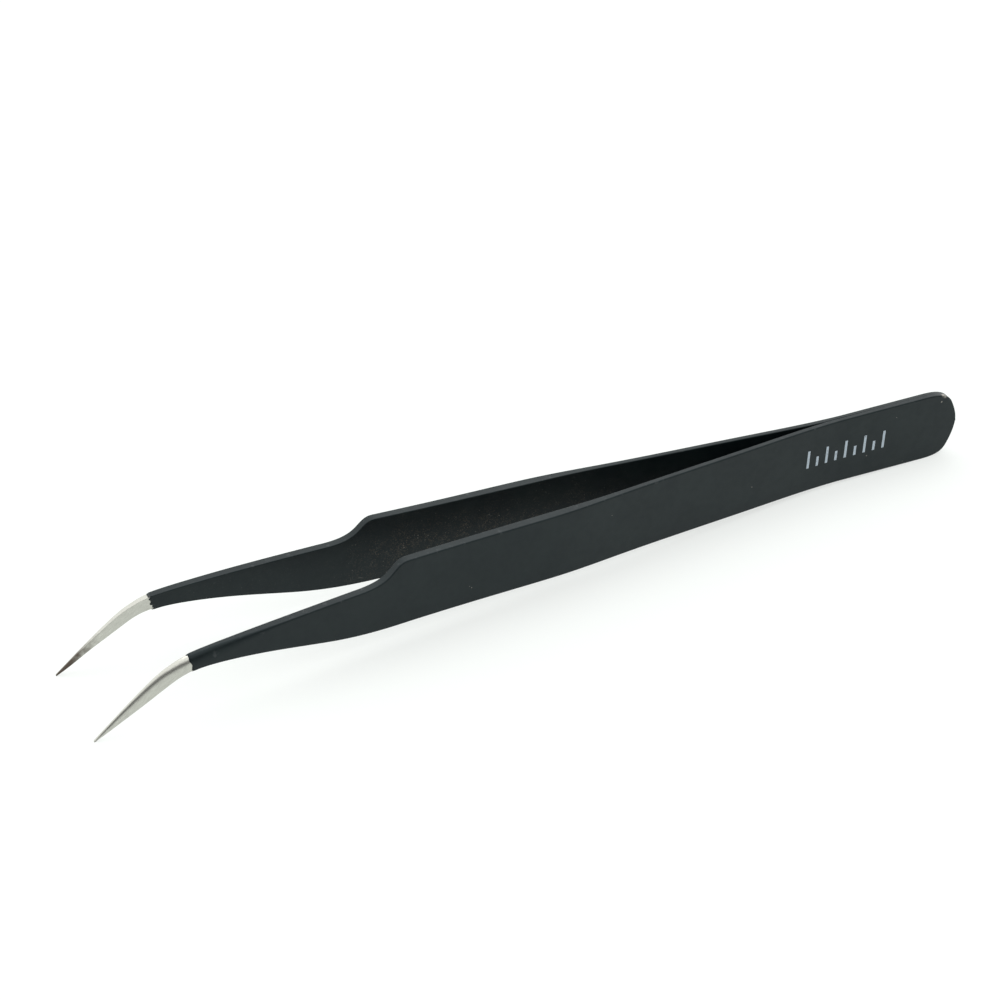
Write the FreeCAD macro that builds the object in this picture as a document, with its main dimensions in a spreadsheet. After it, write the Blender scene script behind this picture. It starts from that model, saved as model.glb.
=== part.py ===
import FreeCAD, Part
import math
import os
import Sketcher

# Precision tweezers with fine hooked tips: two sprung steel arms, spot welded at the heel and dipped in
# a black coating that stops short of the tips.
#
# Design frame: X runs back along the arms, so a station "u" millimetres from the heel's end lies at
# x = -u.  Z is height "w" above the heel's centre line.  Y crosses the gap: the near arm is at -Y.
# The finished pieces are then placed as the tweezers lie on a table, on both tips and the heel.

doc = FreeCAD.newDocument("tweezers")

# ---- driving dimensions, in millimetres and degrees ----

dims = {
    "coat_thick": 0.08,         # coating, on every coated face
    "tip_out": 6.52,            # outer face at the point, from the mid plane
    "relief_at": 103.0,         # where the grinding that thins the point starts
    "relief_out": 6.84,         # outer face there, from the mid plane
    "coat_end": 106.4,          # where the coating stops, on the centre of the neck
    "coat_end_height": -0.9,
    "coat_end_lean": 13.0,      # the edge of the coating is square to the neck, which droops there
    "pivot_at": 38.0,           # a third of the way from the welds to the finger pads
    "pivot_out": 1.859,         # middle of the strip at the pivot, from the mid plane
    "pivot_radius": 1.2,
    "pivot_clearance": 0.05,
    "weld_at": 13.6,
    "weld_upper": 2.4,
    "weld_lower": -1.9,
    "weld_radius": 1.1,
    "weld_depth": 0.2,          # into each arm
    "rest_angle": 1.628,        # how much the arms slope when the tweezers lie on a table
    "rest_shift": 0.0,          # set below, once the pieces' own box is known
    "rest_lift": 0.0,
    "reach": 30.0,              # half size of the tool blocks that trim the pieces
    "overall": 125.0,           # longer than the tweezers
}

# Side outline of the steel, seen square to an arm: control points (u, w), round by the top.
side_points = {
    "heel_low": (4.5, -4.69),
    "heel_low_turn": (1.76, -4.69),
    "heel_low_side": (0.78, -3.46),
    "heel_crown": (-0.42, 0.06),
    "heel_top_side": (0.68, 2.53),
    "heel_top_turn": (1.7, 4.49),
    "heel_top": (5.0, 4.49),
    "back_rear": (28.0, 4.39),
    "back_front": (54.0, 4.17),
    "shoulder": (79.3, 4.1),
    "scoop_top": (80.4, 4.1),
    "scoop_mid": (81.2, 2.55),
    "scoop_low": (83.4, 1.54),
    "neck_root": (86.0, 1.49),
    "neck_rear": (94.0, 1.08),
    "neck_front": (101.0, 0.6),
    "hook_start": (107.0, 0.06),
    "hook_bend": (108.4, -0.7),
    "hook_back": (110.8, -1.65),
    "point_top": (117.85, -7.86),
    "point_low": (117.85, -8.0),
    "hook_belly": (112.0, -4.9),
    "hook_throat": (108.0, -2.08),
    "arch_front": (105.1, -1.39),
    "arch_rear": (97.7, -2.12),
    "belly_front": (91.4, -3.36),
    "belly_rear": (84.9, -4.55),
    "belly_root": (79.0, -4.45),
}

# Plan of an arm: control points (u, inner face's distance from the mid plane, thickness of the steel).
# The rear half of the strip is thinner, and does the springing.
bow_points = {
    "bow_weld": (17.5, 0.0, 0.52),
    "bow_leave": (22.0, 0.12, 0.52),
    "bow_rise": (30.0, 0.93, 0.52),
    "bow_spread": (40.0, 1.76, 0.52),
    "bow_spring": (48.0, 2.48, 0.52),
    "bow_swell": (54.0, 3.02, 0.70),
    "bow_knee": (59.0, 3.16, 1.05),
    "bow_pad": (66.0, 3.45, 0.95),
    "bow_shoulder": (80.0, 4.02, 0.89),
    "bow_neck": (100.0, 5.61, 0.90),
    "bow_point": (119.0, 6.36, 0.94),
}
bow_names = list(bow_points)

sheet = doc.addObject("Spreadsheet::Sheet", "Dims")
cells = dict(dims)
for name, place in {**side_points, **bow_points}.items():
    for suffix, value in zip(("_u", "_w", "_thick"), place):
        cells[name + suffix] = value
for row, (alias, value) in enumerate(cells.items(), 1):
    sheet.set("A%d" % row, alias)
    sheet.set("B%d" % row, str(value))
    sheet.setAlias("B%d" % row, alias)
doc.recompute()


def cell(alias):
    return "Dims." + alias


def size(expression):
    """Value of an expression, to start a sketch where its constraints will hold it."""
    return float(sheet.evalExpression(expression))


# ---- sketches ----


def pin(sketch, geometry, position, name, x, y):
    """Hold one point of a sketch at two expressions of the sheet's cells."""
    for kind, expression in (("DistanceX", x), ("DistanceY", y)):
        held = Sketcher.Constraint(kind, -1, 1, geometry, position, size(expression))
        index = sketch.addConstraint(held)
        label = "%s_%s" % (name, kind[-1])
        sketch.renameConstraint(index, label)
        sketch.setExpression("Constraints." + label, expression)


def outline(sketch, stretches):
    """Closed outline: each stretch is a list of (name, x, y); two points are a line, more a curve."""
    for number, stretch in enumerate(stretches):
        ends = [FreeCAD.Vector(size(x), size(y), 0) for _, x, y in stretch]
        if len(stretch) == 2:
            line = sketch.addGeometry(Part.LineSegment(*ends))
            for position, (name, x, y) in enumerate(stretch, 1):
                pin(sketch, line, position, "%s_%d" % (name, number), x, y)
            continue
        spans = len(stretch) - 3
        curve = Part.BSplineCurve()
        curve.buildFromPolesMultsKnots(
            ends, [4] + [1] * (spans - 1) + [4], list(range(spans + 1)), False, 3
        )
        index = sketch.addGeometry(curve)
        sketch.exposeInternalGeometry(index)
        for pole, (name, x, y) in enumerate(stretch, 1):
            pin(sketch, index + pole, 3, "%s_%d" % (name, number), x, y)


def stand_off(points):
    """For each corner of a closed polygon, the step that moves both its sides out by 1 mm."""
    names = list(points)
    steps = {}
    for number, name in enumerate(names):
        before, here, after = (points[names[i % len(names)]] for i in (number - 1, number, number + 1))
        normals = []
        for (u1, w1), (u2, w2) in ((before, here), (here, after)):
            length = math.hypot(u2 - u1, w2 - w1)
            normals.append(((w1 - w2) / length, (u2 - u1) / length))
        (a, b), (c, d) = normals
        share = max(1 + a * c + b * d, 0.3)
        steps[name] = (a + c) / share, (b + d) / share
    return steps


side_steps = stand_off(side_points)


def side(name, grown):
    """A point of the side outline, or of the coating's, which stands off the steel all round."""
    x, z = "-" + cell(name + "_u"), cell(name + "_w")
    if grown:
        along, up = side_steps[name]
        x += " - Dims.coat_thick * %.3f" % along
        z += " + Dims.coat_thick * %.3f" % up
    return name, x, z


def side_outline(sketch, grown=False):
    runs = [
        ["heel_low", "heel_low_turn", "heel_low_side", "heel_crown", "heel_top_side",
         "heel_top_turn", "heel_top"],
        ["heel_top", "back_rear", "back_front", "shoulder"],
        ["shoulder", "scoop_top", "scoop_mid", "scoop_low", "neck_root"],
        ["neck_root", "neck_rear", "neck_front", "hook_start", "hook_bend", "hook_back", "point_top"],
        ["point_top", "point_low"],
        ["point_low", "hook_belly", "hook_throat", "arch_front", "arch_rear", "belly_front",
         "belly_rear", "belly_root"],
        ["belly_root", "heel_low"],
    ]
    outline(sketch, [[side(name, grown) for name in run] for run in runs])


def plan_outline(sketch, grown=False):
    """The strip in plan, with its heel end left long for trimming."""
    skin = cell("coat_thick") if grown else "0"

    def inner(name):
        return name, "-" + cell(name + "_u"), "%s - %s" % (skin, cell(name + "_w"))

    def outer(name):
        low = "-%s - %s - %s" % (cell(name + "_w"), cell(name + "_thick"), skin)
        return name + "_out", "-" + cell(name + "_u"), low

    butt = ("butt", "Dims.reach", skin)
    butt_out = ("butt_out", "Dims.reach", "-%s - %s" % (cell(bow_names[0] + "_thick"), skin))
    outline(sketch, [
        [butt, inner(bow_names[0])],
        [inner(name) for name in bow_names],
        [inner(bow_names[-1]), outer(bow_names[-1])],
        [outer(name) for name in reversed(bow_names)],
        [outer(bow_names[0]), butt_out],
        [butt_out, butt],
    ])


def waste_outline(sketch):
    """Everything round the side outline, which the blanking tool cuts away."""
    side_outline(sketch)
    left, right, up, down = "-Dims.overall", "Dims.reach", "Dims.reach", "-Dims.reach"
    corners = [("waste_a", left, down), ("waste_b", right, down), ("waste_c", right, up),
               ("waste_d", left, up)]
    outline(sketch, [[corners[i - 1], corners[i]] for i in range(4)])


def relief_outline(sketch):
    """Grinding that thins the last of the arm to a point, from its outer face."""
    start = ("relief_start", "-Dims.relief_at", "-Dims.relief_out")
    point = ("relief_point", "-Dims.bow_point_u", "-Dims.tip_out")
    clear = ("relief_clear", "-Dims.bow_point_u", "-Dims.reach")
    back = ("relief_back", "-Dims.relief_at", "-Dims.reach")
    outline(sketch, [[start, point], [point, clear], [clear, back], [back, start]])


# ---- the steel arms ----


def on_plane(body, name, role, draw):
    """A sketch on one of the body's own origin planes."""
    sketch = body.newObject("Sketcher::SketchObject", name)
    plane = next(f for f in body.Origin.OriginFeatures if f.Role == role)
    sketch.AttachmentSupport = [(plane, "")]
    sketch.MapMode = "FlatFace"
    draw(sketch)
    return sketch


def near_arm():
    """A bent strip, blanked to the side outline and ground thin at the point."""
    body = doc.addObject("PartDesign::Body", "near_arm")
    strip = body.newObject("PartDesign::Pad", "bent_strip")
    strip.Profile = on_plane(body, "plan", "XY_Plane", plan_outline)
    strip.Midplane = True
    strip.setExpression("Length", "2 * Dims.reach")
    blanking = body.newObject("PartDesign::Pocket", "blanking")
    blanking.Profile = on_plane(body, "waste", "XZ_Plane", waste_outline)
    blanking.Midplane = True
    blanking.setExpression("Length", "2 * Dims.reach")
    grinding = body.newObject("PartDesign::Pocket", "point_grinding")
    grinding.Profile = on_plane(body, "relief", "XY_Plane", relief_outline)
    grinding.Midplane = True
    grinding.setExpression("Length", "2 * Dims.reach")
    body.Tip = grinding
    return body


def mirrored(source, name):
    """The same across the mid plane."""
    mirror = doc.addObject("Part::Mirroring", name)
    mirror.Source = source
    mirror.Normal = FreeCAD.Vector(0, 1, 0)
    return mirror


# ---- trimming tools ----


def combine(kind, name, *shapes):
    """Part::Cut, Part::Common or Part::Fuse of two objects, or more in a chain."""
    result = shapes[0]
    for number, other in enumerate(shapes[1:], 1):
        step = doc.addObject(kind, name if number == len(shapes) - 1 else "%s_%d" % (name, number))
        step.Base, step.Tool = result, other
        result = step
    return result


def block(name, x, y, length, width):
    """A block as tall as the tool blocks, from its low corner in plan."""
    box = doc.addObject("Part::Box", name)
    for what, expression in (("Length", length), ("Width", width), ("Height", "2 * Dims.reach"),
                             ("Placement.Base.x", x), ("Placement.Base.y", y),
                             ("Placement.Base.z", "-Dims.reach")):
        box.setExpression(what, expression)
    return box


def post(name, radius, sign):
    """A cylinder on the pivot axis of one arm."""
    cylinder = doc.addObject("Part::Cylinder", name)
    for what, expression in (("Radius", radius), ("Height", "2 * Dims.reach"),
                             ("Placement.Base.x", "-Dims.pivot_at"),
                             ("Placement.Base.y", "%s * Dims.pivot_out" % sign),
                             ("Placement.Base.z", "-Dims.reach")):
        cylinder.setExpression(what, expression)
    return cylinder


def placed(body, label):
    """Name a finished piece, and lay it on the table as the tweezers rest."""
    body.Label = label
    body.Placement = FreeCAD.Placement(FreeCAD.Vector(), FreeCAD.Rotation(FreeCAD.Vector(0, 1, 0), 1))
    body.setExpression("Placement.Rotation.Angle", cell("rest_angle"))
    body.setExpression("Placement.Base.x", cell("rest_shift"))
    body.setExpression("Placement.Base.z", cell("rest_lift"))
    return body


# ---- the coating ----


def grown(name, draw, turned):
    """A blank of the coating's own outline, extruded both ways from a sketch of its own."""
    sketch = doc.addObject("Sketcher::SketchObject", name + "_outline")
    if turned:
        sketch.Placement.Rotation = FreeCAD.Rotation(FreeCAD.Vector(1, 0, 0), 90)
    draw(sketch, grown=True)
    solid = doc.addObject("Part::Extrusion", name)
    solid.Base = sketch
    solid.DirMode = "Normal"
    solid.Solid = True
    solid.Symmetric = True
    solid.setExpression("LengthFwd", "2 * Dims.reach")
    return solid


def coating(arms):
    """One skin over both arms, filling the crevice where they part, cut off square to the necks."""
    face = grown("coat_blank", side_outline, True)
    near = grown("near_skin", plan_outline, False)
    both = combine("Part::Fuse", "skins", near, mirrored(near, "far_skin"))
    solid = combine("Part::Common", "coated", face, both)
    stop = doc.addObject("Part::Box", "coat_stop")
    stop.Placement.Rotation = FreeCAD.Rotation(FreeCAD.Vector(0, 1, 0), 1)
    for what, expression in (("Length", "Dims.reach"), ("Width", "2 * Dims.reach"),
                             ("Height", "2 * Dims.reach")):
        stop.setExpression(what, expression)
    # The stop's trailing face turns about the neck's centre at the coating's end.
    lean, reach = cell("coat_end_lean"), cell("reach")
    stop.setExpression("Placement.Rotation.Angle", "-" + lean)
    across = "-Dims.coat_end - %s * cos(%s * 1deg) + %s * sin(%s * 1deg)" % (reach, lean, reach, lean)
    down = "Dims.coat_end_height - %s * cos(%s * 1deg) - %s * sin(%s * 1deg)" % (reach, lean, reach, lean)
    stop.setExpression("Placement.Base.x", across)
    stop.setExpression("Placement.Base.y", "-Dims.reach")
    stop.setExpression("Placement.Base.z", down)
    return combine("Part::Cut", "coat", solid, *arms, stop)


# ---- assembly ----

arms = {"near": near_arm()}
arms["far"] = mirrored(arms["near"], "far_arm")
coat = coating([arms["near"], arms["far"]])


def welds():
    """The nuggets fused half into each heel, one above the other."""
    nuggets = []
    for name in ("weld_upper", "weld_lower"):
        nugget = doc.addObject("Part::Cylinder", name + "_nugget")
        nugget.Placement.Rotation = FreeCAD.Rotation(FreeCAD.Vector(1, 0, 0), -90)
        nugget.setExpression("Radius", cell("weld_radius"))
        nugget.setExpression("Height", "2 * Dims.weld_depth")
        nugget.setExpression("Placement.Base.x", "-Dims.weld_at")
        nugget.setExpression("Placement.Base.y", "-Dims.weld_depth")
        nugget.setExpression("Placement.Base.z", cell(name))
        nuggets.append(nugget)
    group = doc.addObject("Part::Compound", "nuggets")
    group.Links = nuggets
    return group


nuggets = welds()
heel_block = block("heel_block", "-Dims.pivot_at", "-Dims.reach", "2 * Dims.reach", "2 * Dims.reach")
sockets = [post(name + "_socket", "Dims.pivot_radius + Dims.pivot_clearance", sign)
           for name, sign in (("near", "-1"), ("far", "1"))]
heel_zone = combine("Part::Cut", "heel_zone", heel_block, *sockets)
pieces = [placed(combine("Part::Common", "heel_coat", coat, heel_zone), "heel_coating")]
for name, sign, low in (("near", "-1", "-Dims.reach"), ("far", "1", "0")):
    ahead = block(name + "_ahead", "-Dims.overall", low, "Dims.overall - Dims.pivot_at", "Dims.reach")
    knuckle = post(name + "_knuckle", cell("pivot_radius"), sign)
    blade_zone = combine("Part::Fuse", name + "_blade_zone", ahead, knuckle)
    heel = combine("Part::Common", name + "_heel", arms[name], heel_zone)
    recessed = combine("Part::Cut", name + "_heel_recessed", heel, nuggets)
    blade = combine("Part::Common", name + "_blade", arms[name], blade_zone)
    skin = combine("Part::Common", name + "_skin_on_blade", coat, blade_zone)
    pieces.append(placed(recessed, name + "_arm_heel"))
    pieces.append(placed(blade, name + "_arm_blade"))
    pieces.append(placed(skin, name + "_blade_coating"))
pieces.append(placed(combine("Part::Common", "nuggets_in_heel", nuggets, heel_block), "spot_welds"))
doc.recompute()

# ---- set the origin under the middle of the whole, on the table ----

bounds = FreeCAD.BoundBox()
for piece in pieces:
    bounds.add(piece.Shape.optimalBoundingBox(False, False))
sheet.set(sheet.getCellFromAlias("rest_shift"), str(-bounds.Center.x))
sheet.set(sheet.getCellFromAlias("rest_lift"), str(-bounds.ZMin))
doc.recompute()

# ---- checks and export ----

failed = [o.Name for o in doc.Objects if "Invalid" in o.State or "Error" in o.State]
if failed:
    raise RuntimeError("failed objects: %s" % ", ".join(failed))
for piece in pieces:
    if piece.Shape.isNull() or not piece.Shape.isValid():
        raise RuntimeError("bad shape: " + piece.Label)
os.makedirs("parts", exist_ok=True)
for piece in pieces:
    piece.Shape.exportStep("parts/%s.step" % piece.Label)
    print(piece.Label, len(piece.Shape.Solids), round(piece.Shape.Volume, 3))
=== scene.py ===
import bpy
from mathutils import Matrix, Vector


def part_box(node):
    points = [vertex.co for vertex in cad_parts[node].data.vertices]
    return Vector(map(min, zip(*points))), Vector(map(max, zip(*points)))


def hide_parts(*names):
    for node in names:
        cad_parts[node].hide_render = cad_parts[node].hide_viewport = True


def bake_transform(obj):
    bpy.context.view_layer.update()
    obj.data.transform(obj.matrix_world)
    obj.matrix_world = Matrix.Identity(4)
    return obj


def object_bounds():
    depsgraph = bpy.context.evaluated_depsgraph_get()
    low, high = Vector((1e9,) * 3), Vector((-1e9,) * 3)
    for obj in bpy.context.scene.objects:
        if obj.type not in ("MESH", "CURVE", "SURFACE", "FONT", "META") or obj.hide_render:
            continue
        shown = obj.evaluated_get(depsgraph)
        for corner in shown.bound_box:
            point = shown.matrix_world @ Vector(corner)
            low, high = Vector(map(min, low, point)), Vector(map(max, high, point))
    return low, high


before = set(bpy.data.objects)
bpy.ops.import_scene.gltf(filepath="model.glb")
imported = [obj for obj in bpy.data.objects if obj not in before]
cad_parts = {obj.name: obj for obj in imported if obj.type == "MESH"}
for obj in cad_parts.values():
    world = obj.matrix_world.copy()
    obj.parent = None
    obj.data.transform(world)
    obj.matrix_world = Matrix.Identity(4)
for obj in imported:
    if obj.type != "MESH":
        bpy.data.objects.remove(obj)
cadBox = [list(corner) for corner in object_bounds()]

import math

import bmesh
import bpy
import numpy as np
from mathutils import Matrix, Quaternion, Vector

mm = 0.001
tiny = 1e-9
mergeBelow = 1e-5   # mm, points of an outline nearer than this are one
sharpOver = 40.0    # degrees between faces, past which an edge shows
scene = bpy.context.scene

print("frame loaded:", ", ".join(sorted(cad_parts)))


# where the camera stands, the lit table and the studio light
cameraSetup = {
    "offCentre": (-0.894, 10.049, -1.524),  # mm from the middle of the tweezers to where it looks
    "azimuth": -27.34,                  # degrees, 0 looks along +Y
    "elevation": 34.834,
    "roll": 0.593,
    "distance": 303.97,                 # mm
    "lens": 89.637,
    "sensor": 36.0,
    "nearest": 0.01, "furthest": 20.0,  # m that it sees between
}


def addCamera(setup):
    middle = (Vector(cadBox[0]) + Vector(cadBox[1])) / 2
    target = middle + Vector(setup["offCentre"]) * mm
    turn, lift = math.radians(setup["azimuth"]), math.radians(setup["elevation"])
    away = Vector((math.sin(turn) * math.cos(lift), -math.cos(turn) * math.cos(lift), math.sin(lift)))
    data = bpy.data.cameras.new("tableCamera")
    data.lens, data.sensor_width = setup["lens"], setup["sensor"]
    data.clip_start, data.clip_end = setup["nearest"], setup["furthest"]
    camera = bpy.data.objects.new("tableCamera", data)
    scene.collection.objects.link(camera)
    camera.location = target + away * setup["distance"] * mm
    level = (-away).to_track_quat("-Z", "Y")
    camera.rotation_euler = (level @ Quaternion((0, 0, 1), math.radians(setup["roll"]))).to_euler()
    scene.camera = camera


def put(tree, kind, feeds=None, **settings):
    # one node, its settings, and what goes into each socket
    node = tree.nodes.new(kind)
    for key, value in settings.items():
        setattr(node, key, value)
    for key, value in (feeds or {}).items():
        if isinstance(value, bpy.types.NodeSocket):
            tree.links.new(value, node.inputs[key])
        else:
            node.inputs[key].default_value = value
    return node


def newMaterial(name):
    material = bpy.data.materials.new(name)
    material.use_nodes = True
    tree = material.node_tree
    tree.nodes.clear()
    shader = put(tree, "ShaderNodeBsdfPrincipled")
    put(tree, "ShaderNodeOutputMaterial", {"Surface": shader.outputs["BSDF"]})
    return material, tree, shader


studio = {
    "tableSide": 6.0,                  # m
    "tableColour": (0.30, 0.315, 0.305, 1),
    "tableGlow": (0.985, 1.0, 0.985, 1),     # the table is a lit white panel, so shadows on it are faint
    "glowStrength": 0.62,
    "tableGrain": 9.0,                 # to the m
    "tableUneven": 1.03,               # its palest places, as a share of its colour
    "tableRoughness": 0.9, "tableGloss": 0.1,
    "overhead": 1.50,                  # light from above and behind
    "room": 0.16,                      # and from low down on the near side
    "turn": -27.0,                     # degrees, the near side
    "lean": 0.5,                       # how much being behind counts, against being above
    "dimTo": -0.05, "fullFrom": 0.50,  # where the light starts to rise, and is full
    "backdrop": 1.0,                   # what shows past the table's edge
    "boxPower": 1.0,                   # W
    "boxSize": 0.5,                    # m
    "boxPlace": (0.10, 0.25, 0.75),    # m
}


def addTable(setup):
    mesh = bpy.data.meshes.new("table")
    half = setup["tableSide"] / 2
    corners = [(-half, -half, 0), (half, -half, 0), (half, half, 0), (-half, half, 0)]
    mesh.from_pydata(corners, [], [(0, 1, 2, 3)])
    table = bpy.data.objects.new("table", mesh)
    table.location.z = cadBox[0][2]
    scene.collection.objects.link(table)
    material, tree, shader = newMaterial("tableTop")
    where = put(tree, "ShaderNodeTexCoord").outputs["Object"]
    grain = put(tree, "ShaderNodeTexNoise", {"Vector": where, "Scale": setup["tableGrain"], "Detail": 3.0})
    plain = setup["tableColour"]
    palest = [part * setup["tableUneven"] for part in plain[:3]] + [1]
    tint = put(tree, "ShaderNodeMix", {0: grain.outputs[0], 6: plain, 7: palest}, data_type="RGBA")
    tree.links.new(tint.outputs[2], shader.inputs["Base Color"])
    for socket, value in [("Roughness", "tableRoughness"), ("Specular IOR Level", "tableGloss"),
                          ("Emission Color", "tableGlow"), ("Emission Strength", "glowStrength")]:
        shader.inputs[socket].default_value = setup[value]
    mesh.materials.append(material)


def addLight(setup):
    world = bpy.data.worlds.new("studio")
    world.use_nodes = True
    tree = world.node_tree
    toward = put(tree, "ShaderNodeSeparateXYZ", {0: put(tree, "ShaderNodeTexCoord").outputs["Generated"]})
    turn = math.radians(setup["turn"])
    leanX, leanY = -setup["lean"] * math.sin(turn), setup["lean"] * math.cos(turn)
    side = put(tree, "ShaderNodeMath", {0: toward.outputs["X"], 1: leanX, 2: toward.outputs["Z"]},
               operation="MULTIPLY_ADD")
    high = put(tree, "ShaderNodeMath", {0: toward.outputs["Y"], 1: leanY, 2: side.outputs[0]},
               operation="MULTIPLY_ADD")
    levels = {"Value": high.outputs[0], 1: setup["dimTo"], 2: setup["fullFrom"], 3: setup["room"],
              4: setup["overhead"]}
    glow = put(tree, "ShaderNodeMapRange", levels, interpolation_type="SMOOTHSTEP")
    seen = put(tree, "ShaderNodeLightPath").outputs["Is Camera Ray"]
    shown = put(tree, "ShaderNodeMix", {0: seen, 2: glow.outputs[0], 3: setup["backdrop"]})
    background = tree.nodes["Background"]
    background.inputs["Color"].default_value = (1, 1, 1, 1)
    tree.links.new(shown.outputs[0], background.inputs["Strength"])
    scene.world = world

    lamp = bpy.data.lights.new("softBox", "AREA")
    lamp.energy, lamp.size = setup["boxPower"], setup["boxSize"]
    box = bpy.data.objects.new("softBox", lamp)
    box.location = setup["boxPlace"]
    box.rotation_euler = (-Vector(setup["boxPlace"])).to_track_quat("-Z", "Y").to_euler()
    scene.collection.objects.link(box)
    scene.view_settings.view_transform = "Standard"


addCamera(cameraSetup)
addTable(studio)
addLight(studio)
print("camera, table and light are up")


# each arm is made as a flat blank, then bent to its bow
arm = {
    # side view of the blank, (mm from the heel end, mm above the heel's centre line)
    "heelRound": [(4.5, -4.69), (1.76, -4.69), (0.78, -3.46), (-0.42, 0.06), (0.68, 2.53), (1.7, 4.49),
                  (5.0, 4.49)],
    "back": [(5.0, 4.49), (28, 4.39), (54, 4.17), (79.3, 4.1)],
    "scoop": [(79.3, 4.1), (80.4, 4.1), (81.2, 2.55), (83.4, 1.54), (86.0, 1.49)],
    "neckAndHook": [(86.0, 1.49), (94.0, 1.08), (101.0, 0.6), (107.0, 0.06), (108.4, -0.7), (110.8, -1.65),
                    (117.85, -7.86)],
    "belly": [(117.85, -8.0), (112.0, -4.9), (108.0, -2.08), (105.1, -1.39), (97.7, -2.12), (91.4, -3.36),
              (84.9, -4.55), (79.0, -4.45)],
    "underside": [(79.0, -4.45), (4.5, -4.69)],
    # plan view, (mm from the heel end, mm from the middle to the steel's inner face, mm of thickness)
    "straight": [(-4, 0, 0.52), (17.5, 0, 0.52)],
    "bow": [(17.5, 0, 0.52), (22, 0.12, 0.52), (30, 0.93, 0.52), (40, 1.76, 0.52), (48, 2.48, 0.52),
            (54, 3.02, 0.70), (59, 3.16, 1.05), (66, 3.45, 0.95), (80, 4.02, 0.89), (100, 5.61, 0.90),
            (119, 6.36, 0.94)],
    "pointThick": 0.93,           # steel at the hook, before grinding
    "grindFrom": (103.0, 6.84),   # the outer face is ground flat from here
    "grindTo": (119.0, 6.52),     # to here, to thin the point
    "tilt": 1.628,                # degrees that it rises from the heel, when it rests on heel and hooks
    "rows": 24,                   # faces across the strip
    "edgeSteps": 7,               # faces round an edge
    # mm from the heel end where the spacing of the faces changes, and how many stand in each stretch
    "cutsUp": [0, 5.0, 79.3, 86.0, 104.0, 117.85],
    "cutsDown": [0, 4.5, 79.0, 86.0, 103.2, 117.85],
    "counts": [24, 150, 30, 45, 90],
    "edge": 0.05,                 # edge rounding along the arm
    "edgeMost": 0.2,              # and at the most this share of the strip's height
    # each hook's outer face is ground over to its upper side: this far down, and this far in
    "rollFrom": 90.0, "rollTo": 107.0,
    "nearRoll": (1.9, 0.80), "farRoll": (0.40, 0.25),
    "rollMost": 0.74,             # share of the hook's height
    # its lower edge is rounder than the arm's
    "lowFrom": 104.0, "lowTo": 109.0,
    "roundLow": 0.12,
    "lowMost": 0.15,              # share of the hook's height
    # its underside is ground at a slant, so that the inner face stops this much higher than the outer one
    "slant": 0.32,
    "slantIn": (105.5, 109.5), "slantOut": (113.0, 117.5),
}

coat = {
    "thickness": 0.08,
    "bite": 0.02,                 # how far its inner wall goes into the steel, so that no gap shows
    "end": (106.4, -0.9),         # where it stops, on the centre line there
    "endLean": 13.0,              # degrees, its upper side reaches further
    "cutsUp": [0, 5.0, 24.0, 79.3, 86.0],    # as for the steel, then the brushed end
    "cutsDown": [0, 4.5, 24.0, 79.0, 86.0],
    "counts": [24, 60, 110, 30, 45, 14],
    "brushed": 1.2,               # mm of its end with closer faces
    "ragged": 0.16,               # mm
    "raggedOver": 1.0,            # mm that the raggedness dies out over
    "roughShare": 0.8, "slowShare": 0.5,     # of its fine and its long waves
    "slowWaves": (2, 3, 5, 8),    # waves round the end
    "feather": 0.05,              # mm that it thins at its end
    "featherOver": 0.3,           # mm that it thins over
    "roundOut": (0.20, 0.13),     # rounding of its outer edges, down the face and across the edge
    "roundIn": 0.10,
    "seamRound": 0.02,            # rounding where the two arms' coats run together
    "seamFrom": 9.0, "seamTo": 20.0,
    "dimples": [(13.7, 2.4), (13.3, -1.9)],  # over the spot welds
    "dimpleRadius": 1.1, "dimpleDepth": 0.020,
    "dimpleFlat": 0.55, "dimpleRim": 1.25,   # shares of the radius
    "seed": 7,
}


def smooth(low, high, x):
    t = np.clip((x - low) / (high - low), 0, 1)
    return t * t * (3 - 2 * t)


def nurbsLine(name, runs, detail):
    curve = bpy.data.curves.new(name, "CURVE")
    curve.dimensions = "3D"
    for run in runs:
        spline = curve.splines.new("NURBS")
        spline.points.add(len(run) - 1)
        for point, place in zip(spline.points, run):
            point.co = (*place, 1)
        spline.order_u = min(4, len(run))
        spline.use_endpoint_u = True
        spline.resolution_u = detail
    line = bpy.data.objects.new(name, curve)
    scene.collection.objects.link(line)
    return line


def evaluatedMesh(thing):
    bpy.context.view_layer.update()
    return bpy.data.meshes.new_from_object(thing.evaluated_get(bpy.context.evaluated_depsgraph_get()))


def linePoints(runs, detail=60):
    found = []
    for run in runs:   # one at a time, so that the points stay in order
        line = nurbsLine("measuring", [[(u, 0, w) for u, w in run]], detail)
        mesh = evaluatedMesh(line)
        found += [(v.co.x, v.co.z) for v in mesh.vertices]
        bpy.data.objects.remove(line)
        bpy.data.meshes.remove(mesh)
    points = np.array(found)
    apart = np.hypot(*np.diff(points, axis=0).T) > mergeBelow
    return points[np.concatenate([[True], apart])]


heelLine = linePoints([arm["heelRound"]])
heelTip = int(heelLine[:, 0].argmin())
topLine = linePoints([arm["back"], arm["scoop"], arm["neckAndHook"]])
lowLine = linePoints([arm["belly"], arm["underside"]])[::-1]
upperEdge = np.concatenate([heelLine[heelTip:], topLine[1:]])
lowerEdge = np.concatenate([heelLine[:heelTip + 1][::-1], lowLine[1:]])
bowRuns = [arm["straight"], arm["bow"]]
bowPoints = linePoints([[(u, inner) for u, inner, _ in run] for run in bowRuns])
thickPoints = linePoints([[(u, thick) for u, _, thick in run] for run in bowRuns])


def bowAt(u):
    return np.interp(u, bowPoints[:, 0], bowPoints[:, 1])


def thickAt(u):
    return np.interp(u, thickPoints[:, 0], thickPoints[:, 1])


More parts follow.
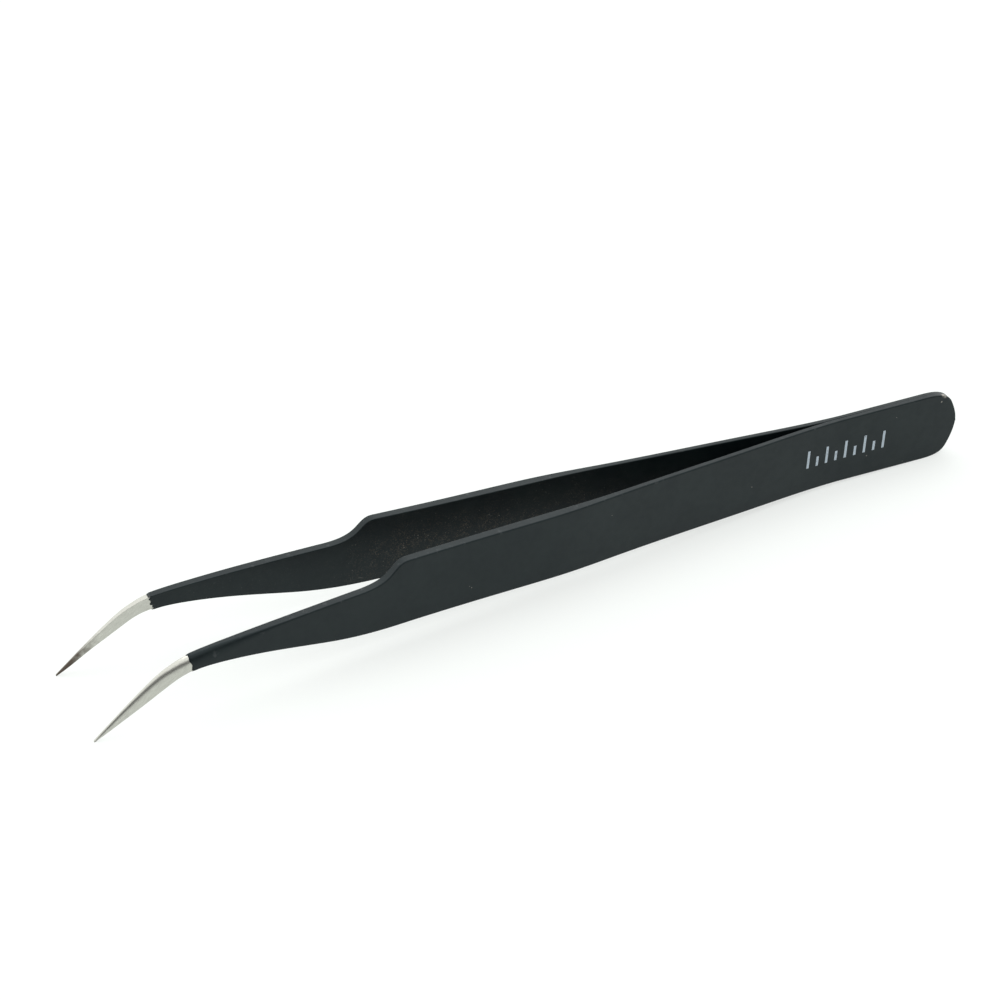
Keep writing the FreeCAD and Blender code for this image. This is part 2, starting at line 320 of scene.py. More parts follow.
def stations(edge, cuts, counts):
    # points along an edge, evenly spaced between the cuts, which are distances from the heel
    length = np.concatenate([[0], np.cumsum(np.hypot(*np.diff(edge, axis=0).T))])
    rising = np.maximum.accumulate(edge[:, 0] + tiny * np.arange(len(edge)))
    at = np.interp(cuts, rising, length)
    at[0] = 0
    runs = [np.linspace(low, high, count, endpoint=False) for low, high, count in zip(at, at[1:], counts)]
    places = np.concatenate(runs + [at[-1:]])
    return np.stack([np.interp(places, length, edge[:, k]) for k in (0, 1)], 1)


def outlineNormals(upper, lower):
    # mitred outward normals of the upper and lower edge, taken as one line round the heel
    sharpest = 0.6   # keeps a mitre at a tight corner short
    line = np.concatenate([lower[::-1], upper[1:]])
    step = np.diff(line, axis=0)
    step /= np.linalg.norm(step, axis=1)[:, None]
    legs = np.stack([-step[:, 1], step[:, 0]], 1)
    both = np.concatenate([legs[:1], legs[:-1] + legs[1:], legs[-1:]])
    both[1:-1] /= np.maximum((both[1:-1] ** 2).sum(1) / 2, sharpest)[:, None]
    count = len(lower)
    return both[count - 1:], both[:count][::-1]


def skin(upper, lower, grow, outer, inner, roundUp, roundDown, roundIn, rows, steps):
    # closed loops round the strip, one for each station: outer face, upper edge, inner face, lower edge
    # roundUp and roundDown are (height, depth) of the rounding at the outer face
    normalUp, normalDown = outlineNormals(upper, lower)
    arc = np.linspace(0, math.pi / 2, steps + 1)
    wider, spare = 1.2, 0.02            # a loop on each face holds the rounding's shape
    outerFlat, innerFlat = 0.04, 0.03   # mm from each rounding to a loop on the edge's flat

    def rings(edge, normal, height, depth):
        # across one edge, from the outer face to the inner face
        level = [(grow - height * wider - spare, outer)]
        for turn in arc:
            level.append((grow - height * (1 - math.sin(turn)), outer - depth * (1 - math.cos(turn))))
        level.append((grow, outer - depth - outerFlat))
        level.append((grow, inner + roundIn + innerFlat))
        for turn in arc[::-1]:
            level.append((grow - roundIn * (1 - math.sin(turn)), inner + roundIn * (1 - math.cos(turn))))
        level.append((grow - roundIn * wider - spare, inner))
        loops = []
        for out, face in level:
            place = edge + normal * np.reshape(out, (-1, 1))
            loops.append(np.column_stack([place[:, 0], np.full(len(edge), face), place[:, 1]]))
        return loops

    up, down = rings(upper, normalUp, *roundUp), rings(lower, normalDown, *roundDown)

    def across(first, last):
        return [first + (last - first) * k / rows for k in range(1, rows)]

    loop = [down[0]] + across(down[0], up[0]) + up + across(up[-1], down[-1]) + down[:0:-1]
    edges = len(up)
    rub = ([0.0] * (rows + 1) + [1.0] * (edges - 2)) * 2
    rimRub = 0.6   # the first and last loop round the upper edge are rubbed less
    for k in (rows + 1, rows + edges - 2):
        rub[k] = rimRub
    return np.stack(loop, 1), np.array(rub)


def rolled(side, along, gap, height, depth):
    # (height, depth) of the outer face's upper rounding: as given, growing into the hook's roll
    share = smooth(arm["rollFrom"], arm["rollTo"], along) ** 2
    down, across = arm["nearRoll"] if side > 0 else arm["farRoll"]
    most = gap * arm["rollMost"]
    return np.minimum(height + (down - height) * share, most), depth + (across - depth) * share


print("drawn the arm's outline:", len(upperEdge) + len(lowerEdge), "points")


def bendTree():
    # a tree that bends a flat blank along the bow line, and grinds its point thin
    tree = bpy.data.node_groups.new("bendStrip", "GeometryNodeTree")
    tree.is_modifier = True
    face = tree.interface
    face.new_socket("Geometry", in_out="INPUT", socket_type="NodeSocketGeometry")
    face.new_socket("Geometry", in_out="OUTPUT", socket_type="NodeSocketGeometry")
    for label, kind in [("Bow line", "Object"), ("Ribbon height", "Float"), ("Strip thickness", "Float"),
                        ("Grind from", "Float"), ("Grind to", "Float"), ("Face at start", "Float"),
                        ("Face at end", "Float"), ("Finish", "Material")]:
        face.new_socket(label, in_out="INPUT", socket_type="NodeSocket" + kind)
    source = put(tree, "NodeGroupInput").outputs
    bow = put(tree, "GeometryNodeObjectInfo", {"Object": source["Bow line"]})
    wire = put(tree, "GeometryNodeCurveToMesh", {"Curve": bow.outputs["Geometry"]})
    rise = put(tree, "ShaderNodeCombineXYZ", {"Z": source["Ribbon height"]})
    ribbon = put(tree, "GeometryNodeExtrudeMesh", {"Mesh": wire.outputs[0], "Offset": rise.outputs[0]},
                 mode="EDGES")
    place = put(tree, "ShaderNodeSeparateXYZ", {0: put(tree, "GeometryNodeInputPosition").outputs[0]})
    half = put(tree, "ShaderNodeMath", {0: source["Ribbon height"], 1: 2.0}, operation="DIVIDE")
    behind, reach = -5.0, 50.0   # mm, where the rays start and how far they go
    start = put(tree, "ShaderNodeCombineXYZ", {"X": place.outputs["X"], "Y": behind, "Z": half.outputs[0]})
    hit = put(tree, "GeometryNodeRaycast", {
        "Target Geometry": ribbon.outputs[0], "Source Position": start.outputs[0],
        "Ray Direction": (0, 1, 0), "Ray Length": reach})
    bowOut = put(tree, "ShaderNodeSeparateXYZ", {0: hit.outputs["Hit Position"]})
    ground = put(tree, "ShaderNodeMapRange", {"Value": place.outputs["X"], 1: source["Grind from"],
                                              2: source["Grind to"], 3: source["Face at start"],
                                              4: source["Face at end"]}, clamp=False)
    left = put(tree, "ShaderNodeMath", {0: ground.outputs[0], 1: bowOut.outputs["Y"]}, operation="SUBTRACT")
    share = put(tree, "ShaderNodeMath", {0: left.outputs[0], 1: source["Strip thickness"]},
                operation="DIVIDE")
    thin = put(tree, "ShaderNodeMath", {0: share.outputs[0], 1: 1.0}, operation="MINIMUM")
    depth = put(tree, "ShaderNodeMath", {0: place.outputs["Y"], 1: thin.outputs[0], 2: bowOut.outputs["Y"]},
                operation="MULTIPLY_ADD")
    moved = put(tree, "ShaderNodeCombineXYZ", {"X": place.outputs["X"], "Y": depth.outputs[0],
                                               "Z": place.outputs["Z"]})
    bent = put(tree, "GeometryNodeSetPosition", {"Geometry": source["Geometry"],
                                                 "Position": moved.outputs[0]})
    real = put(tree, "GeometryNodeRealizeInstances", {"Geometry": bent.outputs[0]})
    done = put(tree, "GeometryNodeSetMaterial", {"Geometry": real.outputs[0], "Material": source["Finish"]})
    put(tree, "NodeGroupOutput", {"Geometry": done.outputs[0]})
    return tree


def setInputs(modifier, values):
    for item in modifier.node_group.interface.items_tree:
        if item.in_out == "INPUT" and item.name in values:
            modifier[item.identifier] = values[item.name]


bowLine = nurbsLine("bowLine", [[(u, inner, 0) for u, inner, _ in run] for run in bowRuns], detail=96)
stripBender = bendTree()
tilt = math.radians(arm["tilt"])


def layDown():
    # matrix from the blank, in mm, to the tweezers as they lie: the CAD blade's low corner gives the place
    c, s = math.cos(tilt), math.sin(tilt)
    outline = np.concatenate([lowerEdge[::-1], upperEdge[1:]])
    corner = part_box("near_arm_blade")[0]
    shiftX = corner.x / mm - (-outline[:, 0] * c + outline[:, 1] * s).min()
    shiftZ = corner.z / mm - (outline[:, 0] * s + outline[:, 1] * c).min()
    return Matrix(((-c, 0, s, shiftX), (0, -1, 0, 0), (s, 0, c, shiftZ), (0, 0, 0, 1 / mm))) * mm


laid = layDown()


def meshFromLoops(name, skins, rubs, closeEnd):
    # skins holds one set of loops for a solid strip, or an outer and an inner one for a coat
    bm = bmesh.new()
    rubLayer = bm.verts.layers.float.new("rubbed")
    placeLayer = bm.verts.layers.float_vector.new("armPlace")
    grids = []
    for loops, rub in zip(skins, rubs):
        grid = []
        for station in loops:
            row = []
            for k, place in enumerate(station):
                vert = bm.verts.new(place)
                vert[rubLayer] = float(rub[k])
                vert[placeLayer] = Vector(place)
                row.append(vert)
            grid.append(row)
        grids.append(grid)
        for rowA, rowB in zip(grid, grid[1:]):
            for k in range(len(rowA)):
                bm.faces.new((rowA[k - 1], rowA[k], rowB[k], rowB[k - 1]))
    last = grids[0][-1]
    if closeEnd:
        centre = bm.verts.new(sum((v.co for v in last), Vector()) / len(last))
        centre[placeLayer] = centre.co
        for k in range(len(last)):
            bm.faces.new((last[k - 1], last[k], centre))
    else:
        within = grids[1][-1]
        for k in range(len(last)):
            bm.faces.new((last[k - 1], last[k], within[k], within[k - 1]))
    sameSpot, noLength = 2e-5, 1e-6   # mm
    bmesh.ops.remove_doubles(bm, verts=bm.verts, dist=sameSpot)
    bmesh.ops.dissolve_degenerate(bm, edges=bm.edges, dist=noLength)
    mesh = bpy.data.meshes.new(name)
    bm.to_mesh(mesh)
    bm.free()
    return mesh


def bend(name, blank, side, finish, grind):
    # one blank, bent, laid down and made a plain mesh; side is 1 for the near arm, -1 for the far one
    rough = bpy.data.objects.new(name + "Blank", blank)
    scene.collection.objects.link(rough)
    bender = rough.modifiers.new("bend", "NODES")
    bender.node_group = stripBender
    free = 1000.0   # mm, so far out that nothing is ground
    setInputs(bender, {
        "Bow line": bowLine, "Ribbon height": 4.0, "Strip thickness": arm["pointThick"],
        "Grind from": arm["grindFrom"][0], "Grind to": arm["grindTo"][0],
        "Face at start": arm["grindFrom"][1] if grind else free,
        "Face at end": arm["grindTo"][1] if grind else free, "Finish": finish,
    })
    mesh = evaluatedMesh(rough)
    mesh.name = name
    bpy.data.objects.remove(rough)
    mesh.transform(laid)
    if side < 0:
        mesh.transform(Matrix.Diagonal((1, -1, 1, 1)))
    bm = bmesh.new()
    bm.from_mesh(mesh)
    bmesh.ops.recalc_face_normals(bm, faces=bm.faces)
    for face in bm.faces:
        face.smooth = True
    bm.to_mesh(mesh)
    bm.free()
    mesh.set_sharp_from_angle(angle=math.radians(sharpOver))
    piece = bpy.data.objects.new(name, mesh)
    scene.collection.objects.link(piece)
    return piece


def multiply(tree, a, b):
    return put(tree, "ShaderNodeMath", {0: a, 1: b}, operation="MULTIPLY").outputs[0]


def ramp(tree, value, low, high, toLow=0.0, toHigh=1.0):
    return put(tree, "ShaderNodeMapRange", {"Value": value, 1: low, 2: high, 3: toLow, 4: toHigh},
               interpolation_type="SMOOTHSTEP").outputs[0]


def mix(tree, share, a, b):
    return put(tree, "ShaderNodeMix", {0: share, 6: a, 7: b}, data_type="RGBA").outputs[2]


cloudSpread = (0.35, 0.65)   # most of a noise's values lie between these
wideSpread = (0.3, 0.7)


def noise(tree, where, scale, detail=3.0, stretch=(1, 1, 1)):
    spot = put(tree, "ShaderNodeMapping", {"Vector": where, "Scale": stretch}).outputs[0]
    return put(tree, "ShaderNodeTexNoise", {"Vector": spot, "Scale": scale, "Detail": detail}).outputs[0]


coating = {
    "dark": (0.0022, 0.0048, 0.0056, 1), "light": (0.0040, 0.0074, 0.0078, 1),
    "dust": (0.130, 0.098, 0.068, 1), "paleDust": (0.34, 0.32, 0.28, 1),
    "rubbed": (0.060, 0.064, 0.066, 1),
    "gloss": 0.30,                   # specular level
    "sheen": (0.82, 0.96, 1.0, 1),   # the shine's own cool tint
    "roughness": (0.36, 0.46),
    "cloud": 0.22,                   # slow changes of colour, to the mm
    "grain": 5.0, "peel": 1.1,       # bumps to the mm
    "bump": 0.10, "bumpDepth": 0.00004,      # m
    # dust lies on the inner faces (mm from the middle), between the heel and the shoulders, and low down
    "dustDepth": (0.25, 0.0),
    "dustStart": (36, 66), "dustStop": (86, 76), "dustElsewhere": 0.10,
    "dustHeight": (3.6, -0.5), "dustHigh": 0.20,
    "dustPatch": 0.35, "patchLevels": (0.38, 0.58), "patchLeast": 0.35,
    "powder": 5.5, "powderLevels": (0.52, 0.66), "powderShare": 0.22,
    # specks: how many cells to the mm, the share of them with a speck, and its size in cells
    "smallSpecks": (5.2, 0.55, 0.36), "largeSpecks": (2.3, 0.16, 0.19), "speckShare": 0.60,
    "straySpecks": (0.8, 0.022, 0.050), "strayShare": 0.7,
    "hairs": (0.8, 0.006), "hairPatch": 0.7, "hairLevels": (0.58, 0.62), "hairShare": 0.25,
    # where the edges are rubbed
    "wear": 1.3, "wearLevels": (0.60, 0.74), "wearShare": 0.35,
    "cornerBreak": 3.0, "cornerLevels": (0.40, 0.55), "cornerLeast": 0.3,
    "wornCorner": ((2.0, 0.50, 4.45), 0.75),     # place on the near arm, in the blank's mm, and radius
    "knockShare": 0.55,
    "knocks": [((2.6, 0.60, 3.4), 0.16), ((13.3, 0.60, -1.9), 0.10), ((9.4, 0.60, 2.8), 0.07),
               ((31.0, 0.60, -1.2), 0.08), ((52.0, 0.70, 1.7), 0.07), ((71.0, 1.02, -2.4), 0.08)],
}


def specks(tree, where, scale, share, size):
    # small round spots: one in so many cells, and its size in cells
    cell = put(tree, "ShaderNodeTexVoronoi", {"Vector": where, "Scale": scale})
    chosen = put(tree, "ShaderNodeSeparateColor", {0: cell.outputs["Color"]})
    kept = put(tree, "ShaderNodeMath", {0: chosen.outputs[0], 1: share}, operation="LESS_THAN")
    near = put(tree, "ShaderNodeMapRange", {"Value": cell.outputs["Distance"], 1: size, 2: size * 0.5,
                                            3: 0.0, 4: 1.0})
    return multiply(tree, kept.outputs[0], near.outputs[0])


def spot(tree, where, centre, radius):
    # 1 inside a ball, fading to 0 at its radius
    away = put(tree, "ShaderNodeVectorMath", {0: where, 1: centre}, operation="DISTANCE").outputs["Value"]
    return ramp(tree, away, radius, radius * 0.5)


def fibres(tree, where, scale, width):
    # thin wandering hairs: where a slow noise passes its middle value
    slow = noise(tree, where, scale, 1.0)
    off = put(tree, "ShaderNodeMath", {0: slow, 1: 0.5}, operation="SUBTRACT").outputs[0]
    away = put(tree, "ShaderNodeMath", {0: off}, operation="ABSOLUTE").outputs[0]
    return ramp(tree, away, width, width * 0.4)


def coatFinish(name, side):
    material, tree, shader = newMaterial(name)
    where = put(tree, "ShaderNodeAttribute", attribute_name="armPlace").outputs["Vector"]
    rubbed = put(tree, "ShaderNodeAttribute", attribute_name="rubbed").outputs["Fac"]
    axes = put(tree, "ShaderNodeSeparateXYZ", {0: where})
    along = axes.outputs["X"]
    cloud = noise(tree, where, coating["cloud"], 4.0)
    fine = noise(tree, where, coating["grain"], 2.0)
    peel = noise(tree, where, coating["peel"], 3.0)
    colour = mix(tree, ramp(tree, cloud, *cloudSpread), coating["dark"], coating["light"])

    # brown and pale dust on the inner faces, thickest before the shoulders
    elsewhere = coating["dustElsewhere"]
    inside = ramp(tree, axes.outputs["Y"], *coating["dustDepth"])
    thickest = multiply(tree, ramp(tree, along, *coating["dustStart"], elsewhere, 1.0),
                        ramp(tree, along, *coating["dustStop"], elsewhere, 1.0))
    settled = ramp(tree, axes.outputs["Z"], *coating["dustHeight"], coating["dustHigh"], 1.0)
    patches = ramp(tree, noise(tree, where, coating["dustPatch"], 4.0), *coating["patchLevels"],
                   coating["patchLeast"], 1.0)
    bed = multiply(tree, multiply(tree, inside, settled), multiply(tree, thickest, patches))
    grains = noise(tree, where, coating["powder"], 2.0)
    powder = multiply(tree, ramp(tree, grains, *coating["powderLevels"]), bed)
    small = multiply(tree, specks(tree, where, *coating["smallSpecks"]), bed)
    large = multiply(tree, specks(tree, where, *coating["largeSpecks"]), bed)
    hair = multiply(tree, multiply(tree, fibres(tree, where, *coating["hairs"]), bed),
                    ramp(tree, noise(tree, where, coating["hairPatch"], 1.0), *coating["hairLevels"]))
    stray = specks(tree, where, *coating["straySpecks"])
    for layer, share, tone in ((powder, "powderShare", "dust"), (small, "speckShare", "dust"),
                               (large, "speckShare", "paleDust"), (hair, "hairShare", "paleDust"),
                               (stray, "strayShare", "paleDust")):
        colour = mix(tree, multiply(tree, layer, coating[share]), colour, coating[tone])

    # edges rubbed here and there, and a few knocks
    broken = noise(tree, where, coating["wear"], 4.0)
    worn = multiply(tree, rubbed, ramp(tree, broken, *coating["wearLevels"]))
    colour = mix(tree, multiply(tree, worn, coating["wearShare"]), colour, coating["rubbed"])
    if side > 0:
        flaked = ramp(tree, noise(tree, where, coating["cornerBreak"], 3.0), *coating["cornerLevels"],
                      coating["cornerLeast"], 1.0)
        corner = multiply(tree, spot(tree, where, *coating["wornCorner"]), flaked)
        colour = mix(tree, corner, colour, coating["paleDust"])
        for centre, radius in coating["knocks"]:
            knock = multiply(tree, spot(tree, where, centre, radius), coating["knockShare"])
            colour = mix(tree, knock, colour, coating["paleDust"])
    tree.links.new(colour, shader.inputs["Base Color"])
    tree.links.new(ramp(tree, peel, *wideSpread, *coating["roughness"]), shader.inputs["Roughness"])
    shader.inputs["Specular IOR Level"].default_value = coating["gloss"]
    shader.inputs["Specular Tint"].default_value = coating["sheen"]
    height = put(tree, "ShaderNodeMath", {0: peel, 1: 2.0, 2: fine}, operation="MULTIPLY_ADD").outputs[0]
    bump = put(tree, "ShaderNodeBump", {"Strength": coating["bump"], "Distance": coating["bumpDepth"],
                                        "Height": height})
    tree.links.new(bump.outputs[0], shader.inputs["Normal"])
    return material


steel = {
    "light": (0.55, 0.555, 0.505, 1), "dark": (0.43, 0.43, 0.39, 1),
    "stain": (0.050, 0.030, 0.020, 1),
    "roughness": (0.36, 0.26),
    "grindTurn": -42.0, "grindStretch": (0.9, 30, 30),    # degrees, and lines to the mm
    "lineLevels": (0.30, 0.62),
    "cloud": 0.8, "cloudLevels": (0.52, 0.85), "cloudShare": 0.35,
    "bump": 0.15, "bumpDepth": 0.00001,      # m
    # the far point is stained: mm from the middle, and mm from the heel end
    "stainDepth": (0.75, 0.30), "stainOutside": 0.35,
    "stainAlong": (114.6, 119.0), "stainRagged": (1.4, 5.0), "stainShare": 0.90,
    "nick": ((112.0, 0.2, -2.6), 0.22), "nickShare": 0.8,
}


def steelFinish(name, stained):
    material, tree, shader = newMaterial(name)
    where = put(tree, "ShaderNodeAttribute", attribute_name="armPlace").outputs["Vector"]
    axes = put(tree, "ShaderNodeSeparateXYZ", {0: where})
    # fine grinding lines run down the hook
    turn = (0, math.radians(steel["grindTurn"]), 0)
    turned = put(tree, "ShaderNodeMapping", {"Vector": where, "Rotation": turn}).outputs[0]
    lines = noise(tree, turned, 1.0, 3.0, steel["grindStretch"])
    cloud = noise(tree, where, steel["cloud"], 3.0)
    colour = mix(tree, ramp(tree, lines, *steel["lineLevels"]), steel["dark"], steel["light"])
    dull = ramp(tree, cloud, *steel["cloudLevels"], 0, steel["cloudShare"])
    colour = mix(tree, dull, colour, steel["dark"])
    if stained:
        inside = ramp(tree, axes.outputs["Y"], *steel["stainDepth"], steel["stainOutside"], 1.0)
        scale, reach = steel["stainRagged"]
        edge = noise(tree, where, scale, 5.0)
        ragged = put(tree, "ShaderNodeMath", {0: edge, 1: reach, 2: axes.outputs["X"]},
                     operation="MULTIPLY_ADD").outputs[0]
        share = multiply(tree, inside, ramp(tree, ragged, *steel["stainAlong"]))
        colour = mix(tree, multiply(tree, share, steel["stainShare"]), colour, steel["stain"])
        nick = multiply(tree, spot(tree, where, *steel["nick"]), steel["nickShare"])
        colour = mix(tree, nick, colour, steel["stain"])
    tree.links.new(colour, shader.inputs["Base Color"])
    shader.inputs["Metallic"].default_value = 1.0
    tree.links.new(ramp(tree, lines, *wideSpread, *steel["roughness"]), shader.inputs["Roughness"])
    bump = put(tree, "ShaderNodeBump", {"Strength": steel["bump"], "Distance": steel["bumpDepth"],
                                        "Height": lines})
    tree.links.new(bump.outputs[0], shader.inputs["Normal"])
    return material


weld = {
    "light": (0.40, 0.37, 0.34, 1), "heat": (0.16, 0.11, 0.13, 1),
    "cloud": 1800.0, "rings": 5000.0,        # to the m
    "roughness": (0.35, 0.6),
    "bump": 0.4, "bumpDepth": 0.00005,
}


def weldFinish(name):
    material, tree, shader = newMaterial(name)
    where = put(tree, "ShaderNodeTexCoord").outputs["Object"]
    cloud = noise(tree, where, weld["cloud"], 4.0)
    rings = noise(tree, where, weld["rings"], 2.0)
    colour = mix(tree, ramp(tree, cloud, *cloudSpread), weld["light"], weld["heat"])
    tree.links.new(colour, shader.inputs["Base Color"])
    shader.inputs["Metallic"].default_value = 1.0
    tree.links.new(ramp(tree, rings, *wideSpread, *weld["roughness"]), shader.inputs["Roughness"])
    bump = put(tree, "ShaderNodeBump", {"Strength": weld["bump"], "Distance": weld["bumpDepth"],
                                        "Height": rings})
    tree.links.new(bump.outputs[0], shader.inputs["Normal"])
    return material


def makeSteel(name, side, stained):
    upper = stations(upperEdge, arm["cutsUp"], arm["counts"])
    lower = stations(lowerEdge, arm["cutsDown"], arm["counts"])
    along = (upper[:, 0] + lower[:, 0]) / 2
    gap = np.hypot(*(upper - lower).T)
    thick = thickAt(along)
    edge = np.minimum(arm["edge"], gap * arm["edgeMost"])
    hook = smooth(arm["lowFrom"], arm["lowTo"], along)
    low = np.minimum(edge + (arm["roundLow"] - edge) * hook, gap * arm["lowMost"])
    roll = rolled(side, along, gap, arm["edge"], arm["edge"])
    loops, rub = skin(upper, lower, 0.0, thick, 0.0, roll, (low, low), edge, arm["rows"], arm["edgeSteps"])
    # the hook's underside is ground at a slant, higher on the inner face
    height = np.maximum(gap, tiny)[:, None]
    rise = (upper - lower) / height
    reach = ((loops[:, :, [0, 2]] - lower[:, None, :]) * rise[:, None, :]).sum(2) / height
    inward = 1 - loops[:, :, 1] / thick[:, None]
    slant = arm["slant"] * smooth(*arm["slantIn"], along) * (1 - smooth(*arm["slantOut"], along))
    lift = slant[:, None] * np.clip(1 - reach, 0, 1) ** 2 * np.clip(inward, 0, 1)
    loops[:, :, [0, 2]] += rise[:, None, :] * lift[:, :, None]
    loops[:, :, 0] = np.minimum(loops[:, :, 0], upper[-1, 0])   # nothing past the point
    blank = meshFromLoops(name + "Blank", [loops], [rub], True)
    return bend(name, blank, side, steelFinish(name + "Finish", stained), True)


def makeCoat(name, side, seed):
    endU, endW = coat["end"]
    lean = math.tan(math.radians(coat["endLean"]))
    edges = []
    for line, cuts in ((upperEdge, coat["cutsUp"]), (lowerEdge, coat["cutsDown"])):
        end = endU + (np.interp(endU, line[:, 0], line[:, 1]) - endW) * lean
        edges.append(stations(line, cuts + [end - coat["brushed"], end], coat["counts"]))
    upper, lower = edges
    along = (upper[:, 0] + lower[:, 0]) / 2
    gap = np.hypot(*(upper - lower).T)
    thick, bite, steelThick = coat["thickness"], coat["bite"], thickAt(along)
    seam = smooth(coat["seamFrom"], coat["seamTo"], along)
    roundIn = coat["seamRound"] + (coat["roundIn"] - coat["seamRound"]) * seam
    outside, rub = skin(upper, lower, thick, steelThick + thick, -np.minimum(thick, bowAt(along)),
                        rolled(side, along, gap, *coat["roundOut"]), coat["roundOut"], roundIn, arm["rows"],
                        arm["edgeSteps"])
    small = arm["edge"]
    within = skin(upper, lower, -bite, steelThick - bite, bite, rolled(side, along, gap, small, small),
                  (small, small), small, arm["rows"], arm["edgeSteps"])[0]
    # spot weld dimples in the outer face
    face = np.abs(outside[:, :, 1] - (steelThick + thick)[:, None]) < mergeBelow
    for u, w in coat["dimples"]:
        away = np.hypot(outside[:, :, 0] - u, outside[:, :, 2] - w) / coat["dimpleRadius"]
        dent = 1 - smooth(coat["dimpleFlat"], coat["dimpleRim"], away)
        outside[:, :, 1] -= face * coat["dimpleDepth"] * dent
    # the brushed end: each place round it stops a little sooner or later
    dice = np.random.default_rng(seed)
    count = outside.shape[1]
    rough = dice.normal(0, 1, count)
    rough = (np.roll(rough, 1) + rough * 2 + np.roll(rough, -1)) / 4
    turns = 2 * math.pi * np.arange(count) / count
    anyTurn = 6.28   # radians
    slow = sum(np.sin(waves * turns + dice.uniform(0, anyTurn)) / waves for waves in coat["slowWaves"])
    shift = coat["ragged"] * (rough * coat["roughShare"] + slow * coat["slowShare"])
    fade = smooth(along[-1] - coat["raggedOver"], along[-1], along)
    direction = np.gradient(outside, axis=0)
    direction /= np.maximum(np.linalg.norm(direction, axis=2)[:, :, None], tiny)
    move = direction * (fade[:, None] * shift[None, :])[:, :, None]
    outside += move
    within += move
    thin = smooth(along[-1] - coat["featherOver"], along[-1], along) * coat["feather"] / (thick + bite)
    outside += (within - outside) * thin[:, None, None]
    blank = meshFromLoops(name + "Blank", [outside, within], [rub, rub * 0], False)
    return bend(name, blank, side, coatFinish(name + "Finish", side), False)


ink = {
    "count": 9,                   # plain ticks on the near heel
    "from": 11.0, "to": 22.4,     # mm from the heel end
    "foot": -1.25,                # mm from the heel's centre line
    "long": 2.40, "short": 1.35,
    "stroke": 0.36, "film": 0.015, "sunk": 0.006,
    "uneven": 0.06,               # share that a tick's height varies by
    "colour": (0.40, 0.47, 0.53, 1), "worn": (0.13, 0.15, 0.17, 1),
    "wear": 2600.0, "wearLevels": (0.60, 0.74),      # to the m
    "mottle": 5200.0, "roughness": (0.45, 0.6),
    "grain": 7000.0, "bump": 0.2, "bumpDepth": 0.00001,
    "seed": 4,
}


def tickTree():
    # a row of ticks, every other one short, standing on one line
    tree = bpy.data.node_groups.new("tickRow", "GeometryNodeTree")
    tree.is_modifier = True
    face = tree.interface
    face.new_socket("Geometry", in_out="INPUT", socket_type="NodeSocketGeometry")
    face.new_socket("Geometry", in_out="OUTPUT", socket_type="NodeSocketGeometry")
    for label, kind in [("Count", "Int"), ("First", "Float"), ("Pitch", "Float"), ("Foot", "Float"),
                        ("Depth", "Float"), ("Long", "Float"), ("Short", "Float"), ("Stroke", "Float"),
                        ("Film", "Float"), ("Uneven", "Float"), ("Seed", "Int"), ("Finish", "Material")]:
        face.new_socket(label, in_out="INPUT", socket_type="NodeSocket" + kind)
    source = put(tree, "NodeGroupInput").outputs
    first = put(tree, "ShaderNodeCombineXYZ", {"X": source["First"], "Y": source["Depth"],
                                               "Z": source["Foot"]})
    pitch = put(tree, "ShaderNodeCombineXYZ", {"X": source["Pitch"]})
    row = put(tree, "GeometryNodeMeshLine", {"Count": source["Count"], "Start Location": first.outputs[0],
                                             "Offset": pitch.outputs[0]})
    bar = put(tree, "GeometryNodeMeshCube", {"Size": (1, 1, 1), "Vertices X": 4, "Vertices Y": 2,
                                             "Vertices Z": 8})
    stood = put(tree, "GeometryNodeTransform", {"Geometry": bar.outputs["Mesh"],
                                                "Translation": (0, 0, 0.5)})
    index = put(tree, "GeometryNodeInputIndex").outputs[0]
    odd = put(tree, "ShaderNodeMath", {0: index, 1: 2.0}, operation="MODULO").outputs[0]
    height = put(tree, "ShaderNodeMapRange", {"Value": odd, 1: 0.0, 2: 1.0, 3: source["Long"],
                                              4: source["Short"]})
    loose = put(tree, "FunctionNodeRandomValue", {"ID": index, "Seed": source["Seed"]}, data_type="FLOAT")
    unit = put(tree, "ShaderNodeMath", {0: loose.outputs["Value"], 1: source["Uneven"], 2: 1.0},
               operation="MULTIPLY_ADD").outputs[0]
    tall = put(tree, "ShaderNodeMath", {0: height.outputs[0], 1: unit}, operation="MULTIPLY").outputs[0]
    size = put(tree, "ShaderNodeCombineXYZ", {"X": source["Stroke"], "Y": source["Film"], "Z": tall})
    ticks = put(tree, "GeometryNodeInstanceOnPoints", {
        "Points": row.outputs[0], "Instance": stood.outputs[0], "Scale": size.outputs[0]})
    real = put(tree, "GeometryNodeRealizeInstances", {"Geometry": ticks.outputs[0]})
    done = put(tree, "GeometryNodeSetMaterial", {"Geometry": real.outputs[0], "Material": source["Finish"]})
    put(tree, "NodeGroupOutput", {"Geometry": done.outputs[0]})
    return tree


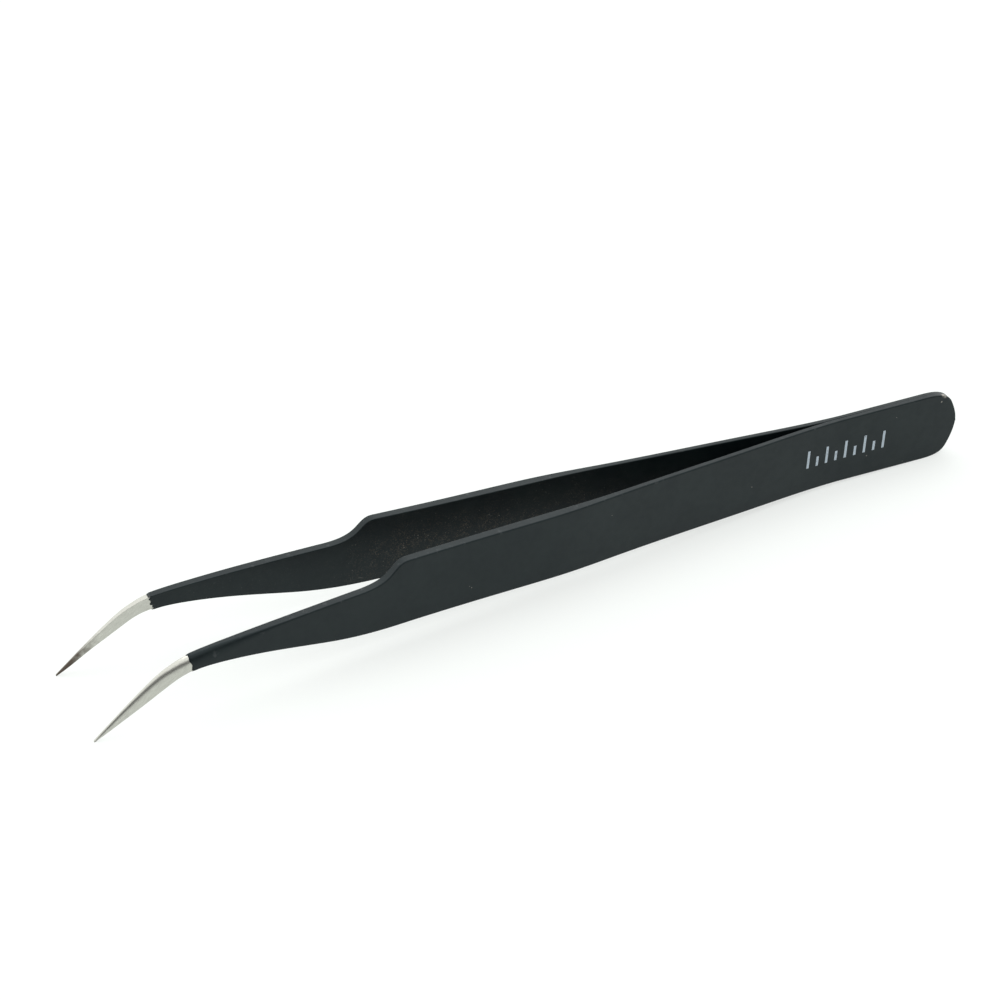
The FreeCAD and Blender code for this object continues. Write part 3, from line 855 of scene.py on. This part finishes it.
def inkFinish(name):
    material, tree, shader = newMaterial(name)
    where = put(tree, "ShaderNodeTexCoord").outputs["Object"]
    thin = ramp(tree, noise(tree, where, ink["wear"], 4.0), *ink["wearLevels"])
    tree.links.new(mix(tree, thin, ink["colour"], ink["worn"]), shader.inputs["Base Color"])
    rough = ramp(tree, noise(tree, where, ink["mottle"], 2.0), *wideSpread, *ink["roughness"])
    tree.links.new(rough, shader.inputs["Roughness"])
    bump = put(tree, "ShaderNodeBump", {"Strength": ink["bump"], "Distance": ink["bumpDepth"],
                                        "Height": noise(tree, where, ink["grain"], 2.0)})
    tree.links.new(bump.outputs[0], shader.inputs["Normal"])
    return material


def makeInk(name):
    finish = inkFinish(name + "Finish")
    rough = bpy.data.objects.new(name + "Row", bpy.data.meshes.new(name + "Row"))
    scene.collection.objects.link(rough)
    liner = rough.modifiers.new("ticks", "NODES")
    liner.node_group = tickTree()
    surface = thickAt(ink["from"]) + coat["thickness"]
    pitch = (ink["to"] - ink["from"]) / (ink["count"] - 1)
    setInputs(liner, {
        "Count": ink["count"], "First": ink["from"], "Pitch": pitch,
        "Foot": ink["foot"], "Depth": surface - ink["sunk"] + ink["film"] / 2,
        "Long": ink["long"], "Short": ink["short"], "Stroke": ink["stroke"], "Film": ink["film"],
        "Uneven": ink["uneven"], "Seed": ink["seed"], "Finish": finish,
    })
    blank = evaluatedMesh(rough)
    bpy.data.objects.remove(rough)
    return bend(name, blank, 1, finish, False)


nearSteel = makeSteel("nearSteel", 1, False)
farSteel = makeSteel("farSteel", -1, True)
print("steel arms:", [len(o.data.polygons) for o in (nearSteel, farSteel)], "faces")

nearCoat = makeCoat("nearCoat", 1, coat["seed"])
farCoat = makeCoat("farCoat", -1, coat["seed"] + 1)
print("coats:", [len(o.data.polygons) for o in (nearCoat, farCoat)], "faces")

inkTicks = makeInk("inkTicks")
print("ink ticks:", len(inkTicks.data.polygons), "faces")


for piece, bladeBody, nodes, slotName in (
        (nearSteel, "near_arm", ("near_arm_heel", "near_arm_blade"), "steel"),
        (farSteel, "far_arm", ("far_arm_heel", "far_arm_blade"), "steel"),
        (nearCoat, "near_arm", ("near_blade_coating", "heel_coating"), "coating"),
        (farCoat, "far_arm", ("far_blade_coating",), "coating"),
        (inkTicks, "near_arm", (), "coating")):
    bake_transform(piece)
    if nodes:
        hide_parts(*nodes)

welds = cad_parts["spot_welds"]
weldLook = weldFinish("weldFinish")
for k in range(len(welds.material_slots)):
    welds.material_slots[k].material = weldLook
if not welds.material_slots:
    welds.data.materials.append(weldLook)
bpy.data.objects.remove(bowLine)
